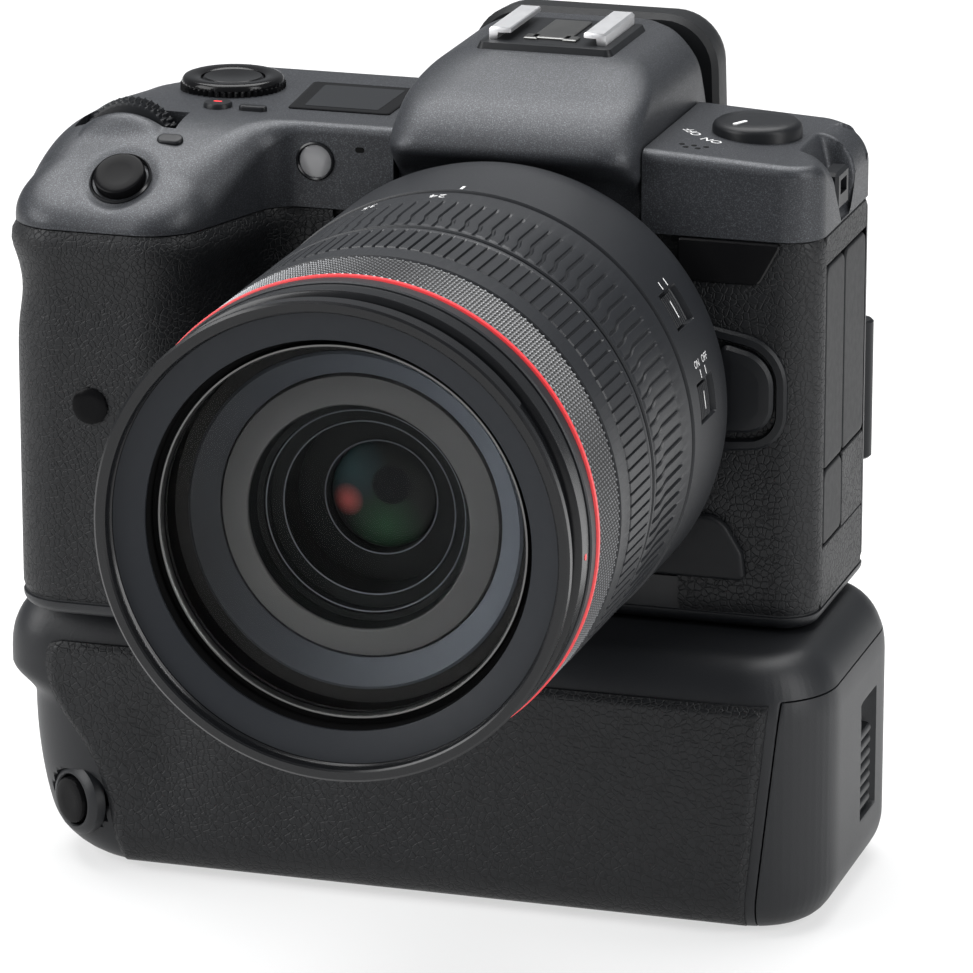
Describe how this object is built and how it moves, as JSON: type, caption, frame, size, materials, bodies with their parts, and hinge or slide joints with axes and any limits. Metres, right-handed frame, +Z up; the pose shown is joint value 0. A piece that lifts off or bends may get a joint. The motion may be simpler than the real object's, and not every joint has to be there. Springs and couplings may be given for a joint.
{
  "type": "mirrorless camera with zoom lens and battery grip",
  "caption": "Mirrorless camera with an extending zoom lens, swinging rear screen, turning rings and dials, and a vertical battery grip under the body.",
  "frame": {"origin": "on the flat base of the battery grip, below the lens axis, in the image plane", "axes": "+Z up, -Y out of the lens along its axis, +X to the right as seen from the front of the lens"},
  "size_m": [0.1535, 0.1646, 0.153],
  "materials": {
    "paint": "satin",
    "leather": "grained",
    "plastic": "matte",
    "rubber": "matte",
    "gloss": "gloss",
    "steel": "satin",
    "knurl": "knurled",
    "red": "satin",
    "slate": "matte",
    "glass": "coated",
    "lamp": "clear",
    "sensor": "gloss",
    "cells": "matte"
  },
  "bodies": {
    "camera": {"grip_case": "plastic", "battery_tray": "cells", "grip_panel": "leather", "tripod_bush": "steel", "bottom_cover": "leather", "front_cover": "plastic", "rear_cover": "plastic", "grip_leather": "leather", "side_leather": "leather", "front_sensor_window": "gloss", "top_cover": "paint", "left_top_cover": "paint", "finder_cover": "paint", "top_display": "glass", "focus_lamp_window": "lamp", "strap_lug_left": "steel", "strap_lug_right": "steel", "shoe_base": "plastic", "shoe_rails": "steel", "eyecup": "rubber", "eyepiece_lens": "glass", "body_mount_ring": "steel", "shutter_unit": "plastic", "image_sensor": "sensor", "lens_mount_plate": "steel", "lens_fixed_barrel": "plastic", "front_collar": "plastic", "red_trim_ring": "red"},
    "zoom_grip": {"zoom_ring": "rubber"},
    "front_barrel": {"zoom_barrel": "plastic", "name_ring": "slate", "front_element": "glass", "inner_cell": "plastic", "inner_element": "glass", "iris_unit": "plastic"},
    "focus_grip": {"focus_ring": "rubber"},
    "control_grip": {"control_ring": "knurl"},
    "focus_knob": {"focus_mode_switch": "plastic"},
    "stabilizer_knob": {"stabilizer_switch": "plastic"},
    "release": {"lens_release_button": "plastic"},
    "remote_flap": {"remote_socket_cover": "rubber"},
    "port_flap_front": {"port_cover_front": "rubber"},
    "sync_flap": {"sync_cover": "rubber"},
    "port_flap_rear": {"port_cover_rear": "rubber"},
    "card_flap": {"card_door": "plastic"},
    "screen": {"rear_screen": "plastic"},
    "shutter_key": {"shutter_button": "gloss"},
    "front_wheel": {"main_dial": "plastic"},
    "function_key": {"function_button": "plastic"},
    "record_key": {"record_button": "plastic"},
    "lamp_key": {"lamp_button": "plastic"},
    "mode_wheel": {"mode_dial": "gloss"},
    "mode_key": {"mode_button": "gloss"},
    "power_knob": {"power_switch": "gloss"},
    "rear_wheel": {"quick_dial": "plastic"},
    "battery_flap": {"battery_door": "plastic"},
    "lock_key": {"door_lock": "plastic"},
    "vertical_key": {"vertical_shutter_button": "gloss"},
    "vertical_wheel": {"vertical_dial": "plastic"},
    "clamp": {"clamp_wheel": "plastic"}
  },
  "joints": [
    {"name": "zoom_turn", "type": "hinge", "parent": "camera", "child": "zoom_grip", "pos_m": [0, -0.0668, 0.0943], "axis": [0, 1, 0], "range_deg": [0, 75]},
    {"name": "zoom_extend", "type": "slide", "parent": "camera", "child": "front_barrel", "axis": [0, -1, 0], "range_m": [0, 0.042]},
    {"name": "focus_turn", "type": "hinge", "parent": "camera", "child": "focus_grip", "pos_m": [0, -0.0895, 0.0943], "axis": [0, -1, 0], "continuous": true},
    {"name": "control_turn", "type": "hinge", "parent": "camera", "child": "control_grip", "pos_m": [0, -0.1055, 0.0943], "axis": [0, -1, 0], "continuous": true},
    {"name": "focus_mode_slide", "type": "slide", "parent": "camera", "child": "focus_knob", "axis": [0, 1, 0], "range_m": [0, 0.003]},
    {"name": "stabilizer_slide", "type": "slide", "parent": "camera", "child": "stabilizer_knob", "axis": [0, 1, 0], "range_m": [0, 0.003]},
    {"name": "release_press", "type": "slide", "parent": "camera", "child": "release", "axis": [0, 1, 0], "range_m": [0, 0.0015], "stiffness_N_per_m": 600},
    {"name": "remote_flap_open", "type": "hinge", "parent": "camera", "child": "remote_flap", "pos_m": [0.0423, -0.0239, 0.0637], "axis": [0, 0, 1], "range_deg": [0, 100]},
    {"name": "port_front_open", "type": "hinge", "parent": "camera", "child": "port_flap_front", "pos_m": [0.0546, -0.0143, 0.0978], "axis": [0, 0, -1], "range_deg": [0, 110]},
    {"name": "sync_open", "type": "hinge", "parent": "camera", "child": "sync_flap", "pos_m": [0.0546, -0.0143, 0.0721], "axis": [0, 0, -1], "range_deg": [0, 110]},
    {"name": "port_rear_open", "type": "hinge", "parent": "camera", "child": "port_flap_rear", "pos_m": [0.0546, -0.00095, 0.0978], "axis": [0, 0, -1], "range_deg": [0, 110]},
    {"name": "card_open", "type": "hinge", "parent": "camera", "child": "card_flap", "pos_m": [-0.0866, -0.0145, 0.0908], "axis": [0, 0, 1], "range_deg": [0, 95]},
    {"name": "screen_swing", "type": "hinge", "parent": "camera", "child": "screen", "pos_m": [0.0516, 0.0212, 0.0848], "axis": [0, 0, -1], "range_deg": [0, 175]},
    {"name": "shutter_press", "type": "slide", "parent": "camera", "child": "shutter_key", "axis": [0, 0.4226, -0.9063], "range_m": [0, 0.0012], "stiffness_N_per_m": 700},
    {"name": "main_dial_turn", "type": "hinge", "parent": "camera", "child": "front_wheel", "pos_m": [-0.071, -0.024, 0.1316], "axis": [0, 1, 0], "continuous": true},
    {"name": "function_press", "type": "slide", "parent": "camera", "child": "function_key", "axis": [0, 0.4226, -0.9063], "range_m": [0, 0.0008], "stiffness_N_per_m": 600},
    {"name": "record_press", "type": "slide", "parent": "camera", "child": "record_key", "axis": [0, 0, -1], "range_m": [0, 0.0006], "stiffness_N_per_m": 600},
    {"name": "lamp_press", "type": "slide", "parent": "camera", "child": "lamp_key", "axis": [0, 0, -1], "range_m": [0, 0.0006], "stiffness_N_per_m": 600},
    {"name": "mode_dial_turn", "type": "hinge", "parent": "camera", "child": "mode_wheel", "pos_m": [-0.0605, 0.0005, 0.1378], "axis": [0, 0, 1], "continuous": true},
    {"name": "mode_press", "type": "slide", "parent": "camera", "child": "mode_key", "axis": [0, 0, -1], "range_m": [0, 0.0008], "stiffness_N_per_m": 600},
    {"name": "power_turn", "type": "hinge", "parent": "camera", "child": "power_knob", "pos_m": [0.038, -0.0005, 0.1358], "axis": [0, 0, -1], "range_deg": [0, 45]},
    {"name": "rear_dial_turn", "type": "hinge", "parent": "camera", "child": "rear_wheel", "pos_m": [-0.062, 0.0208, 0.0803], "axis": [0, 1, 0], "continuous": true},
    {"name": "battery_door_open", "type": "hinge", "parent": "camera", "child": "battery_flap", "pos_m": [0.05015, 0.0213, 0.0267], "axis": [0, 0, 1], "range_deg": [0, 95]},
    {"name": "lock_slide", "type": "slide", "parent": "battery_flap", "child": "lock_key", "axis": [0, 0, 1], "range_m": [0, 0.006]},
    {"name": "vertical_press", "type": "slide", "parent": "camera", "child": "vertical_key", "axis": [0.3489, 0.9371, 0], "range_m": [0, 0.001], "stiffness_N_per_m": 700},
    {"name": "vertical_dial_turn", "type": "hinge", "parent": "camera", "child": "vertical_wheel", "pos_m": [-0.081, -0.012, 0.02], "axis": [0, 1, 0], "continuous": true},
    {"name": "clamp_turn", "type": "hinge", "parent": "camera", "child": "clamp", "pos_m": [0, 0.0045, 0.0418], "axis": [0, 0, 1], "continuous": true}
  ],
  "couplings": [
    {"joint": "zoom_extend", "follows": "zoom_turn", "m_per_rad": 0.03208}
  ]
}
